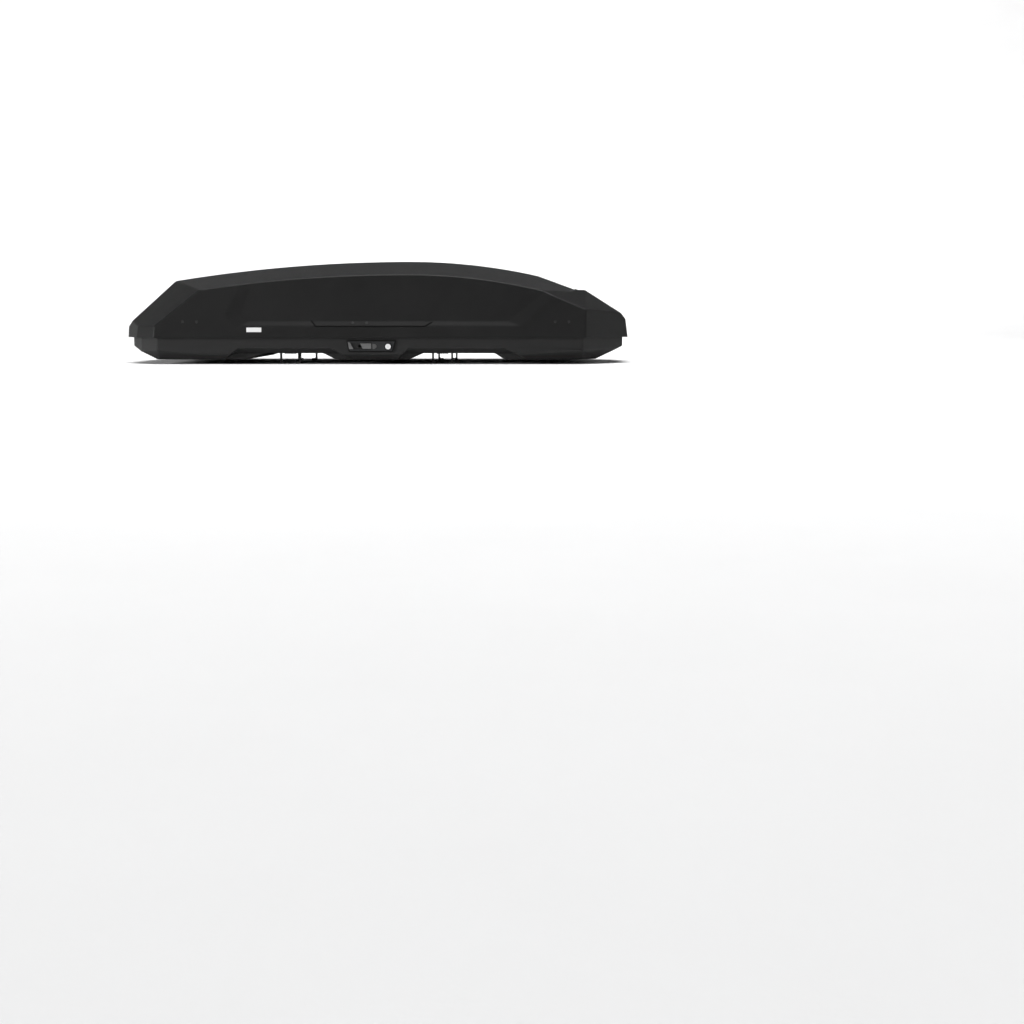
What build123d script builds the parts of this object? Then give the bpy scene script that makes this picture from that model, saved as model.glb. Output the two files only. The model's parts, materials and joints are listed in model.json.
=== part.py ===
from build123d import *
import os
from math import atan, cos, sin, sqrt

# A hard-shell roof cargo box that opens on both long sides, in millimetres.
# X runs forward to the nose, Y to the left and Z up. The origin is under the middle of the box,
# level with the underside of the claws that hook round the roof bars.

os.makedirs("parts", exist_ok=True)

# ---------------------------------------------------------------- driving dimensions
LENGTH = 2320
WIDTH = 940
HEIGHT = 466
WALL = 4
HALF_L = LENGTH / 2
HALF_W = WIDTH / 2
SIDES = {"right": -1, "left": 1}
BEYOND = 40  # how far raw blocks stick out before their faces are cut

# Lid: the roof line is two arcs that meet level at the peak
LID_BOTTOM = 120
RIM_TOP = 171
PEAK_X = 150
REAR_ARC = 6800
FRONT_ARC = 2700
FLAT_HALF = 200  # half width of the flat middle strip of the roof
CREASE_Y = 425
CREASE_Z = 401
SHOULDER = atan((HEIGHT - CREASE_Z) / (CREASE_Y - FLAT_HALF))

# Lid side recess: a panel deepest along its sill, which would come level with the side at
# RECESS_FADE, above the crease where the panel ends
RECESS_DEPTH = 9
RECESS_SILL = 196
RECESS_FADE = 560

# Base tray
BASE_HALF_L = 1136
BASE_HALF_W = 446
BASE_TOP = 150
BASE_FLOOR = 20
CHANNEL_TOP = 49
UNDERCUT_Z = 46
UNDERCUT_FOOT = 404
RIM_GAP = 24

# Hinge and latch stations along each long side
STATIONS = (-830, -65, 845)
PIN_Y = 457
PIN_Z = 128
PIN_R = 4
RUNNING_GAP = 0.05
BARREL_R = 6.2
KNUCKLE = (-30, -8)
CRADLE = (-5, 7)
SLEEVE = (34, 52)
LATCH_TRAVEL = 24
BRACKET_SKIN = 2.5
RIVET_SPREAD = 31
RIVET_Z = 191

# Plain badge on each side of the lid
BADGE_X = (-574, -507)
BADGE_Z = (145, 165)
BADGE_THICK = 1.5

# Latch bar inside the base wall, slider and key lock outside it
BAR_Y = (432, 436)
BAR_Z = (121, 131)
SLIDER_X = (-65, -15)
SLIDER_Z = (70, 94)
SLIDER_LEAN = 12  # how far the lower rear corner is set forward
STEM_X = (-48, -32)
STEM_Z = (78, 86)
KEY_X = 61
KEY_Z = 80
KEY_R = 12.5

# Lid lifter arms: a crossed pair near each end
LIFTER_X = {"rear": -760, "front": 740}
ARM_OFFSET = 12
ARM_THICK = 8
PIVOT = (415, 142)
TIP = (392, 168)
PIVOT_R = 5
SHOE_RISE = 6
TRACK_GAP = 1

# Roof bar clamps
CLAMP_X = {"rear": -400, "front": 300}
CLAMP_Y = 300
CHANNELS = {"rear": (-590, -498, -239, -181), "front": (152, 214, 542, 586)}
FLARE_FEET = {"rear": (-643, -166), "front": (133, 627)}
FLARE_TOPS = {"rear": (-611, -203), "front": (157, 586)}
FLARE_FOOT_Z = 52
FLARE_TOP_Z = 74
SLOTS = {"rear": (-494, -243), "front": (218, 538)}
SLOT_HALF = 14
RAIL_TOP = 55
BAR_GAP = 80
HOUSING = (72, 30, 55.5, 92)
KNOB_R = 30


def crown(x):
    """Height of the flat middle strip of the roof at x."""
    radius = REAR_ARC if x < PEAK_X else FRONT_ARC
    return HEIGHT - radius + sqrt(radius**2 - (x - PEAK_X) ** 2)


def side_y(z):
    """How far out the lid's drafted side stands at height z."""
    return HALF_W - (HALF_W - CREASE_Y) * (z - LID_BOTTOM) / (CREASE_Z - LID_BOTTOM)


def recess_y(z):
    """How far out the recessed panel of the lid's side stands at height z."""
    share = (RECESS_FADE - z) / (RECESS_FADE - RECESS_SILL)
    return side_y(z) - RECESS_DEPTH * share


def facet(corners, inside, inset=0, side=1):
    """The plane through three corners, facing away from a point inside, moved in by inset."""
    a, b, c = (Vector(x, side * y, z) for x, y, z in corners)
    normal = (b - a).cross(c - a).normalized()
    if normal.dot(a - Vector(*inside)) < 0:
        normal = normal * -1
    return Plane(origin=a - normal * inset, z_dir=normal)


def block(x, y, z, mode=Mode.ADD):
    """A box in the current part, between two values along each axis."""
    middle = tuple((low + high) / 2 for low, high in (x, y, z))
    with Locations(middle):
        Box(*(abs(high - low) for low, high in (x, y, z)), mode=mode)


def rod(radius, start, end, mode=Mode.ADD):
    """A round bar in the current part, from one point to another."""
    run = Vector(*end) - Vector(*start)
    with Locations(Plane(origin=start, z_dir=run)):
        Cylinder(radius, run.length, align=(Align.CENTER, Align.CENTER, Align.MIN), mode=mode)


def prism(plane, corners, amount, grow=0, mode=Mode.ADD):
    """A prism in the current part, from a polygon drawn on a plane."""
    with BuildSketch(plane) as section:
        with BuildLine():
            Polyline(*corners, close=True)
        make_face()
        if grow:
            offset(amount=grow, kind=Kind.INTERSECTION)
    extrude(section.sketch, amount=amount, mode=mode)


def save(builder, name):
    """Label a finished piece and write it as its own STEP file."""
    builder.part.label = name
    export_step(builder.part, f"parts/{name}.step")


# ---------------------------------------------------------------- lid outer form
# Corners of the lid's flat facets; those off the centre are given for the left side.
REAR_SLOPE_TOP = (-942, 200, 378)
REAR_SHOULDER = (-786, 434, 336)
REAR_HIP = (-990, 462, RIM_TOP)
REAR_CHEEK = (-1088, 355, RIM_TOP)
NOSE_HIP = (806, 439, 308)
NOSE_CHEEK = (953, 450, 246)
NOSE_CORNER = (1127, 230, 230)
NOSE_LIP = (1149, 210, 203)
NOSE_BROW = (957, 250, 336)
BROW_VALLEY = (912, 220, 336)
REAR_CHAMFER = ((-994, HALF_W, LID_BOTTOM), (-1094, 360, LID_BOTTOM))
REAR_QUARTER = ((-1094, 360, LID_BOTTOM), (-HALF_L, 245, LID_BOTTOM))
FRONT_CHAMFER = ((952, HALF_W, LID_BOTTOM), (HALF_L, 200, LID_BOTTOM))
LID_MIDDLE = (0, 0, 200)


def level_facet(low, high):
    """Three corners of a facet that runs straight across the box, from its lower and upper edge."""
    (low_x, low_z), (high_x, high_z) = low, high
    return (low_x, 0, low_z), (low_x, 100, low_z), (high_x, 0, high_z)


FORE_ROOF = level_facet((740, 401), (BROW_VALLEY[0], BROW_VALLEY[2]))
REAR_END_FACETS = (
    level_facet((-HALF_L, LID_BOTTOM), (-HALF_L, RIM_TOP)),
    level_facet((-HALF_L, 169), (REAR_SLOPE_TOP[0], REAR_SLOPE_TOP[2])),
)
NOSE_END_FACETS = (
    level_facet((HALF_L, LID_BOTTOM), (NOSE_LIP[0], NOSE_LIP[2])),
    level_facet((NOSE_LIP[0], NOSE_LIP[2]), (NOSE_CORNER[0], NOSE_CORNER[2])),
    level_facet((NOSE_CORNER[0], NOSE_CORNER[2]), (NOSE_BROW[0], NOSE_BROW[2])),
)
SIDE_FACET = ((0, HALF_W, LID_BOTTOM), (100, HALF_W, LID_BOTTOM), (0, CREASE_Y, CREASE_Z))
REAR_SIDE_FACETS = (
    (*REAR_CHAMFER, (-982, 460, 220)),
    (*REAR_QUARTER, (-1080, 352, 220)),
    (REAR_SHOULDER, REAR_HIP, REAR_CHEEK),
)
NOSE_SIDE_FACETS = (
    (*FRONT_CHAMFER, NOSE_CHEEK),
    (NOSE_HIP, NOSE_CHEEK, NOSE_BROW),
    (NOSE_CHEEK, NOSE_CORNER, NOSE_BROW),
)
BROW_FACETS = (
    level_facet((BROW_VALLEY[0], BROW_VALLEY[2]), (NOSE_BROW[0], NOSE_BROW[2])),
    level_facet((NOSE_HIP[0], NOSE_HIP[2]), (BROW_VALLEY[0], BROW_VALLEY[2])),
)


def roof_face(plane, inset, rise, depth):
    """The region under the roof line on a plane whose origin is at the peak's height."""

    def point(x):
        return (x, (crown(x) - HEIGHT) * rise - inset)

    start, end = -HALF_L - BEYOND, HALF_L + BEYOND
    with BuildSketch(plane) as face:
        with BuildLine():
            ThreePointArc(point(start), point((start + PEAK_X) / 2), point(PEAK_X))
            ThreePointArc(point(PEAK_X), point((PEAK_X + end) / 2), point(end))
            Polyline(point(end), (end, -depth), (start, -depth), point(start))
        make_face()
    return face.sketch


def on_side(x, z):
    """The point of the lid's plain side at x and height z."""
    return x, side_y(z), z


def on_recess(x, z):
    """The point of the recess's panel at x and height z."""
    return x, recess_y(z), z


RECESS_FACETS = (
    (on_recess(0, RECESS_SILL), on_recess(100, RECESS_SILL), on_recess(0, CREASE_Z)),
    (on_side(0, RIM_TOP), on_side(100, RIM_TOP), on_recess(0, RECESS_SILL)),
    (on_side(663, RIM_TOP), on_side(808, 310), on_recess(747, 310)),
    (on_side(-672, 220), on_side(-598, 356), on_recess(-580, 290)),
    (on_side(-672, 220), on_side(-612, RIM_TOP), on_recess(-559, RECESS_SILL)),
)


def recess_pocket(inset, side):
    """The space that the side recess takes out of the lid, grown by inset."""
    outside = (100, side * 500, 260)
    with BuildPart() as pocket:
        block((-800, 900), (side * 390, side * 500), (140, 450))
        for corners in RECESS_FACETS:
            split(bisect_by=facet(corners, outside, -inset, side), keep=Keep.BOTTOM)
    return pocket.part


def nose_visor(inset, bottom):
    """The nose's raised visor, which stands a little proud of the roof at the brow."""
    inside = (1000, 0, 200)
    with BuildPart() as visor:
        block((700, HALF_L + BEYOND), (-HALF_W - BEYOND, HALF_W + BEYOND), (bottom, HEIGHT))
        for corners in NOSE_END_FACETS + BROW_FACETS:
            split(bisect_by=facet(corners, inside, inset), keep=Keep.BOTTOM)
        for side in SIDES.values():
            for corners in (SIDE_FACET, *NOSE_SIDE_FACETS):
                split(bisect_by=facet(corners, inside, inset, side), keep=Keep.BOTTOM)
    return visor.part


def lid_solid(inset, bottom):
    """The lid's form as a closed solid, with every face but the bottom moved in by inset."""
    visor = nose_visor(inset, bottom)
    upright = Plane(origin=(0, 0, HEIGHT), x_dir=(1, 0, 0), z_dir=(0, -1, 0))
    pockets = [recess_pocket(inset, side) for side in SIDES.values()]
    middle_face = roof_face(upright, inset, 1, HEIGHT - bottom)
    shoulder_faces = []
    for side in SIDES.values():
        slope = Plane(
            origin=(0, side * FLAT_HALF, HEIGHT),
            x_dir=(1, 0, 0),
            z_dir=(0, -cos(SHOULDER), side * sin(SHOULDER)),
        )
        shoulder_faces.append(roof_face(slope, inset, cos(SHOULDER), 3 * HEIGHT))
    with BuildPart() as solid:
        extrude(middle_face, amount=HALF_W + BEYOND, both=True)
        for face in shoulder_faces:
            extrude(face, amount=LENGTH, both=True, mode=Mode.INTERSECT)
        for corners in (FORE_ROOF, *REAR_END_FACETS, *NOSE_END_FACETS):
            split(bisect_by=facet(corners, LID_MIDDLE, inset), keep=Keep.BOTTOM)
        for side in SIDES.values():
            for corners in (SIDE_FACET, *REAR_SIDE_FACETS, *NOSE_SIDE_FACETS):
                split(bisect_by=facet(corners, LID_MIDDLE, inset, side), keep=Keep.BOTTOM)
        add(visor)
        for pocket in pockets:
            add(pocket, mode=Mode.SUBTRACT)
    return solid.part


# ---------------------------------------------------------------- base outer form
BASE_MIDDLE = (0, 0, 120)
BASE_END_FACETS = (
    level_facet((0, BASE_FLOOR), (100, BASE_FLOOR)),
    level_facet((-BASE_HALF_L, 80), (-BASE_HALF_L, 120)),
    level_facet((-1130, 76), (-1002, BASE_FLOOR)),
    level_facet((BASE_HALF_L, 80), (BASE_HALF_L, 120)),
    level_facet((1131, 76), (1005, BASE_FLOOR)),
)
BASE_SIDE_FACETS = (
    ((0, BASE_HALF_W, 60), (100, BASE_HALF_W, 60), (0, BASE_HALF_W, 120)),
    ((0, BASE_HALF_W, UNDERCUT_Z), (100, BASE_HALF_W, UNDERCUT_Z), (0, UNDERCUT_FOOT, BASE_FLOOR)),
    ((-790, BASE_HALF_W, UNDERCUT_Z), (-983, BASE_HALF_W, 60), (-790, UNDERCUT_FOOT, BASE_FLOOR)),
    ((700, BASE_HALF_W, UNDERCUT_Z), (935, BASE_HALF_W, 62), (700, UNDERCUT_FOOT, BASE_FLOOR)),
    ((-983, BASE_HALF_W, 63), (-1083, 336, 63), (-955, 415, BASE_FLOOR)),
    ((-1083, 336, 63), (-1149, 221, 63), (-1047, 315, BASE_FLOOR)),
    ((940, BASE_HALF_W, 63), (BASE_HALF_L, 192, 63), (904, 418, BASE_FLOOR)),
)


def flare_cut(foot, top, inset, side):
    """The space under a flare: the base's lower wall is set in there, up to a leaning face."""
    inside = ((foot[0] + foot[1]) / 2, side * 450, 0)
    faces = (
        ((0, 400, 49), (100, 400, 49), (0, 500, 101)),
        ((foot[0], 400, FLARE_FOOT_Z), (foot[0], 500, FLARE_FOOT_Z), (top[0], 400, FLARE_TOP_Z)),
        ((foot[1], 400, FLARE_FOOT_Z), (foot[1], 500, FLARE_FOOT_Z), (top[1], 400, FLARE_TOP_Z)),
    )
    with BuildPart() as cut:
        block((foot[0] - 120, foot[1] + 120), (side * (400 - inset), side * 500), (-10 - inset, 120))
        for corners in faces:
            split(bisect_by=facet(corners, inside, -inset, side), keep=Keep.BOTTOM)
    return cut.part


def base_solid(inset, top):
    """The base tray's form as a closed solid, with every face but the top moved in by inset."""
    flares = []
    for end, foot in FLARE_FEET.items():
        flares += [flare_cut(foot, FLARE_TOPS[end], inset, side) for side in SIDES.values()]
    with BuildPart() as solid:
        block((-HALF_L, HALF_L), (-HALF_W, HALF_W), (0, top))
        for corners in BASE_END_FACETS:
            split(bisect_by=facet(corners, BASE_MIDDLE, inset), keep=Keep.BOTTOM)
        for side in SIDES.values():
            for corners in BASE_SIDE_FACETS:
                split(bisect_by=facet(corners, BASE_MIDDLE, inset, side), keep=Keep.BOTTOM)
            for a, b in (REAR_CHAMFER, REAR_QUARTER, FRONT_CHAMFER):
                upright = (a, b, (a[0], a[1], 0))
                cut = facet(upright, BASE_MIDDLE, RIM_GAP + inset, side)
                split(bisect_by=cut, keep=Keep.BOTTOM)
        across = Plane(origin=(0, HALF_W + BEYOND, 0), x_dir=(1, 0, 0), z_dir=(0, -1, 0))
        low = CHANNEL_TOP - BEYOND
        for foot_a, top_a, top_b, foot_b in CHANNELS.values():
            low_a = top_a - (top_a - foot_a) / (CHANNEL_TOP - BASE_FLOOR) * BEYOND
            low_b = top_b + (foot_b - top_b) / (CHANNEL_TOP - BASE_FLOOR) * BEYOND
            channel = ((low_a, low), (top_a, CHANNEL_TOP), (top_b, CHANNEL_TOP), (low_b, low))
            prism(across, channel, WIDTH + 2 * BEYOND, inset, Mode.SUBTRACT)
        for flare in flares:
            add(flare, mode=Mode.SUBTRACT)
    return solid.part


# ---------------------------------------------------------------- rivets of the lid brackets
def rivet_planes(side):
    """Where the rivets of one side sit on the lid's outer face, facing out."""
    planes = []
    for station in STATIONS:
        in_recess = abs(station) < 500
        for x in (station - RIVET_SPREAD, station + RIVET_SPREAD):
            if in_recess:
                share = 0.6
                z = RIM_TOP + share * (RECESS_SILL - RIM_TOP)
                y = side_y(RIM_TOP) + share * (recess_y(RECESS_SILL) - side_y(RIM_TOP))
                run_y = side_y(RIM_TOP) - recess_y(RECESS_SILL)
                run_z = RECESS_SILL - RIM_TOP
            else:
                z = RIVET_Z
                y = side_y(z)
                run_y = HALF_W - CREASE_Y
                run_z = CREASE_Z - LID_BOTTOM
            planes.append(Plane(origin=(x, side * y, z), z_dir=(0, side * run_z, run_y)))
    return planes


RIVET_PLANES = rivet_planes(-1) + rivet_planes(1)
RIVET_SHANK_R = 3
RIVET_GRIP = WALL + BRACKET_SKIN


def rivet_part(plane, radius, low, high, mode=Mode.ADD):
    """A cylinder of the current part along a rivet's axis, between two heights over the wall."""
    rod(radius, plane.from_local_coords((0, 0, low)), plane.from_local_coords((0, 0, high)), mode)


# ---------------------------------------------------------------- lid pieces
lid_outer = lid_solid(0, LID_BOTTOM)
lid_cavity = lid_solid(WALL, LID_BOTTOM - 10)
lid_lined = lid_solid(WALL + BRACKET_SKIN, LID_BOTTOM - 20)
lid_bowed = lid_solid(WALL + 8, LID_BOTTOM - 20)

with BuildPart() as lid_shell:
    add(lid_outer)
    add(lid_cavity, mode=Mode.SUBTRACT)
    for rivet_plane in RIVET_PLANES:
        rivet_part(rivet_plane, RIVET_SHANK_R + RUNNING_GAP, -20, 5, Mode.SUBTRACT)
save(lid_shell, "lid_shell")

with BuildPart() as lid_bows:
    for bow_x in (-330, 330):
        block((bow_x - 30, bow_x + 30), (-HALF_W, HALF_W), (215, HEIGHT))
    add(lid_cavity, mode=Mode.INTERSECT)
    add(lid_bowed, mode=Mode.SUBTRACT)
save(lid_bows, "lid_bows")

for side_name, side in SIDES.items():
    with BuildPart() as brackets:
        for station in STATIONS:
            reach = (side * 400, side * HALF_W)
            block((station - 40, station + 40), reach, (146, 206))
            block((station + KNUCKLE[0], station + KNUCKLE[1]), reach, (122, 150))
        add(lid_cavity, mode=Mode.INTERSECT)
        add(lid_lined, mode=Mode.SUBTRACT)
        for station in STATIONS:
            ends = [(station + x, side * PIN_Y, PIN_Z) for x in KNUCKLE]
            rod(BARREL_R, *ends)
            rod(PIN_R + RUNNING_GAP, *ends, mode=Mode.SUBTRACT)
        for rivet_plane in rivet_planes(side):
            rivet_part(rivet_plane, RIVET_SHANK_R + RUNNING_GAP, -20, 5, Mode.SUBTRACT)
    save(brackets, f"{side_name}_lid_brackets")

    with BuildPart() as pins:
        for station in STATIONS:
            rod(PIN_R, (station - 31, side * PIN_Y, PIN_Z), (station + 30, side * PIN_Y, PIN_Z))
    save(pins, f"{side_name}_hinge_pins")

    badge_low, badge_high = side_y(BADGE_Z[0]), side_y(BADGE_Z[1])
    with BuildPart() as badge:
        outline = (
            (side * badge_low, BADGE_Z[0]),
            (side * badge_high, BADGE_Z[1]),
            (side * (badge_high + BADGE_THICK), BADGE_Z[1]),
            (side * (badge_low + BADGE_THICK), BADGE_Z[0]),
        )
        prism(Plane.YZ.offset(BADGE_X[0]), outline, BADGE_X[1] - BADGE_X[0])
    save(badge, f"{side_name}_badge")

with BuildPart() as lid_rivets:
    for rivet_plane in RIVET_PLANES:
        rivet_part(rivet_plane, RIVET_SHANK_R, -RIVET_GRIP, 0)
        rivet_part(rivet_plane, 6.5, 0, 1.2)
        rivet_part(rivet_plane, 4.5, 1.2, 2)
        rivet_part(rivet_plane, 5, -RIVET_GRIP - 1.5, -RIVET_GRIP)
save(lid_rivets, "lid_rivets")

TRACK_Z = TIP[1] + SHOE_RISE + TRACK_GAP
with BuildPart() as lifter_tracks:
    for lifter_x in LIFTER_X.values():
        for side in SIDES.values():
            x = lifter_x + side * ARM_OFFSET
            block((x - 9, x + 9), (side * 400, side * HALF_W), (150, 210))
    add(lid_cavity, mode=Mode.INTERSECT)
    add(lid_lined, mode=Mode.SUBTRACT)
    for lifter_x in LIFTER_X.values():
        for side in SIDES.values():
            x = lifter_x + side * ARM_OFFSET
            inner = side_y(TRACK_Z + 3) - WALL - 1
            block((x - 9, x + 9), (side * 360, side * inner), (TRACK_Z, TRACK_Z + 3))
save(lifter_tracks, "lifter_tracks")

# ---------------------------------------------------------------- base pieces
with BuildPart() as base_shell:
    add(base_solid(0, BASE_TOP))
    add(base_solid(WALL, BASE_TOP + 10), mode=Mode.SUBTRACT)
    for side in SIDES.values():
        through = (side * (BASE_HALF_W - 10), side * (BASE_HALF_W + 10))
        for station in STATIONS:
            window = (station + SLEEVE[0] - LATCH_TRAVEL - 2, station + SLEEVE[1] + 2)
            block(window, through, (PIN_Z - 4, PIN_Z + 4), Mode.SUBTRACT)
        stem_path = (STEM_X[0] - LATCH_TRAVEL - 2, STEM_X[1] + 2)
        block(stem_path, through, (STEM_Z[0] - 2, STEM_Z[1] + 2), Mode.SUBTRACT)
        rod(KEY_R + 1, (KEY_X, through[0], KEY_Z), (KEY_X, through[1], KEY_Z), Mode.SUBTRACT)
        for slot in SLOTS.values():
            across_slot = (side * CLAMP_Y - SLOT_HALF, side * CLAMP_Y + SLOT_HALF)
            block(slot, across_slot, (40, 60), Mode.SUBTRACT)
save(base_shell, "base_shell")

with BuildPart() as base_rim_seal:
    add(base_solid(-1, BASE_TOP + 4))
    split(bisect_by=Plane.XY.offset(BASE_TOP), keep=Keep.TOP)
    add(base_solid(WALL + 1, BASE_TOP + 10), mode=Mode.SUBTRACT)
save(base_rim_seal, "base_rim_seal")

RAIL_RIVET_R = 4
for side_name, side in SIDES.items():
    with BuildPart() as rails:
        for slot in SLOTS.values():
            middle = side * CLAMP_Y
            block(slot, (middle - 45, middle + 45), (CHANNEL_TOP + WALL, RAIL_TOP))
            block(slot, (middle - SLOT_HALF, middle + SLOT_HALF), (50, 60), Mode.SUBTRACT)
            for end, inward in ((slot[0], 1), (slot[1], -1)):
                block((end, end + inward * 2), (middle - 20, middle + 20), (CHANNEL_TOP + WALL, RAIL_TOP))
    save(rails, f"{side_name}_floor_rails")

with BuildPart() as rail_rivets:
    for slot in SLOTS.values():
        for x in (slot[0] + 14, (slot[0] + slot[1]) / 2, slot[1] - 14):
            for y in (-CLAMP_Y - 38, -CLAMP_Y + 38, CLAMP_Y - 38, CLAMP_Y + 38):
                rod(RAIL_RIVET_R, (x, y, RAIL_TOP), (x, y, RAIL_TOP + 2))
save(rail_rivets, "floor_rail_rivets")

for side_name, side in SIDES.items():
    with BuildPart() as cradles:
        for station in STATIONS:
            ends = [(station + x, side * PIN_Y, PIN_Z) for x in CRADLE]
            reach = (station + CRADLE[0], station + CRADLE[1])
            block(reach, (side * BASE_HALF_W, side * PIN_Y), (PIN_Z - BARREL_R, PIN_Z - 2))
            plate = (station - 28, reach[1])
            block(plate, (side * BASE_HALF_W, side * 448.5), (PIN_Z - BARREL_R, 146))
            rod(BARREL_R, *ends)
            rod(PIN_R + 0.1, *ends, mode=Mode.SUBTRACT)
            mouth = (side * (PIN_Y - PIN_R - 0.1), side * (PIN_Y + PIN_R + 0.1))
            block(reach, mouth, (PIN_Z, PIN_Z + 10), Mode.SUBTRACT)
            block(reach, (side * 449, side * 470), (PIN_Z + 3, PIN_Z + 10), Mode.SUBTRACT)
    save(cradles, f"{side_name}_pin_cradles")

    with BuildPart() as bar:
        start, end = STATIONS[0] + SLEEVE[0], STATIONS[-1] + SLEEVE[1]
        block((start, end), (side * BAR_Y[0], side * BAR_Y[1]), BAR_Z)
        block(STEM_X, (side * BAR_Y[0], side * BAR_Y[1]), (STEM_Z[0], BAR_Z[1]))
        for station in STATIONS:
            ends = [(station + x, side * PIN_Y, PIN_Z) for x in SLEEVE]
            reach = (station + SLEEVE[0], station + SLEEVE[1])
            block(reach, (side * BAR_Y[0], side * (PIN_Y - 4.5)), (PIN_Z - 2, PIN_Z + 2))
            rod(BARREL_R, *ends)
            rod(PIN_R + 0.1, *ends, mode=Mode.SUBTRACT)
    save(bar, f"{side_name}_latch_bar")

    with BuildPart() as slider:
        face = (
            (SLIDER_X[0] + SLIDER_LEAN, SLIDER_Z[0]),
            (SLIDER_X[1], SLIDER_Z[0]),
            (SLIDER_X[1], SLIDER_Z[1]),
            (SLIDER_X[0], SLIDER_Z[1]),
        )
        outward = Plane(origin=(0, side * 447.5, 0), x_dir=(1, 0, 0), z_dir=(0, -1, 0))
        prism(outward, face, -side * 8)
        block(STEM_X, (side * BAR_Y[1], side * 449), STEM_Z)
    save(slider, f"{side_name}_latch_slider")

    with BuildPart() as housing:
        outline = ((-123, 104), (93, 104), (79, 60), (-113, 60))
        wall_face = Plane(origin=(0, side * BASE_HALF_W, 0), x_dir=(1, 0, 0), z_dir=(0, -1, 0))
        prism(wall_face, outline, -side * 7)
        window = ((-99, 67), (-13, 67), (-12, 97), (-108, 97))
        prism(wall_face, window, -side * 8, 0, Mode.SUBTRACT)
        inner, outer = side * (BASE_HALF_W - 1), side * (BASE_HALF_W + 9)
        rod(KEY_R + 2.5, (KEY_X, side * BASE_HALF_W, KEY_Z), (KEY_X, outer, KEY_Z))
        rod(KEY_R + RUNNING_GAP, (KEY_X, inner, KEY_Z), (KEY_X, outer, KEY_Z), Mode.SUBTRACT)
    save(housing, f"{side_name}_lock_housing")

    with BuildPart() as key_cylinder:
        slit = (KEY_X - 1.2, KEY_X + 1.2)
        cam = (KEY_X - 5, KEY_X + 5)
        rod(KEY_R, (KEY_X, side * 441, KEY_Z), (KEY_X, side * 455.5, KEY_Z))
        block(slit, (side * 451, side * 456), (KEY_Z - 5, KEY_Z + 5), Mode.SUBTRACT)
        block(cam, (side * 438, side * 441), (KEY_Z - 5, KEY_Z + 20))
    save(key_cylinder, f"{side_name}_key_cylinder")

CRADLE_BOLT_Z = 140
with BuildPart() as cradle_bolts:
    for side in SIDES.values():
        for station in STATIONS:
            for x in (station - 20, station - 2):
                wall_y = side * (BASE_HALF_W - WALL)
                rod(4, (x, side * 440, CRADLE_BOLT_Z), (x, wall_y, CRADLE_BOLT_Z))
save(cradle_bolts, "cradle_bolts")

# ---------------------------------------------------------------- lid lifters
CHEEK = ((350, 26), (390, 26), (430, 72), (430, 148), (422, 156), (402, 156), (396, 110), (350, 34))
CHEEK_THICK = 3
CHEEK_GAP = ARM_THICK / 2 + 0.5
with BuildPart() as lifter_brackets:
    for lifter_x in LIFTER_X.values():
        for side in SIDES.values():
            x = lifter_x - side * ARM_OFFSET
            cheek = [(side * y, z) for y, z in CHEEK]
            for start in (x - CHEEK_GAP - CHEEK_THICK, x + CHEEK_GAP):
                prism(Plane.YZ.offset(start), cheek, CHEEK_THICK)
            foot = (x - CHEEK_GAP - CHEEK_THICK - 10, x + CHEEK_GAP + CHEEK_THICK + 10)
            block(foot, (side * 345, side * 392), (BASE_FLOOR + WALL, BASE_FLOOR + WALL + 4))
            hole = [(x + end, side * PIVOT[0], PIVOT[1]) for end in (-30, 30)]
            rod(PIVOT_R + RUNNING_GAP, *hole, mode=Mode.SUBTRACT)
save(lifter_brackets, "lifter_brackets")

with BuildPart() as lifter_pins:
    for lifter_x in LIFTER_X.values():
        for side in SIDES.values():
            x = lifter_x - side * ARM_OFFSET
            spring_end = x - side * (CHEEK_GAP + CHEEK_THICK + 14)
            rod(
                PIVOT_R,
                (spring_end, side * PIVOT[0], PIVOT[1]),
                (x + side * (CHEEK_GAP + CHEEK_THICK + 1.5), side * PIVOT[0], PIVOT[1]),
            )
save(lifter_pins, "lifter_pivot_pins")

with BuildPart() as lifter_springs:
    for lifter_x in LIFTER_X.values():
        for side in SIDES.values():
            x = lifter_x - side * (ARM_OFFSET + CHEEK_GAP + CHEEK_THICK + 0.5)
            ends = [(x, side * PIVOT[0], PIVOT[1]), (x - side * 12, side * PIVOT[0], PIVOT[1])]
            rod(9, *ends)
            rod(PIVOT_R + 1, *ends, mode=Mode.SUBTRACT)
save(lifter_springs, "lifter_springs")

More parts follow.
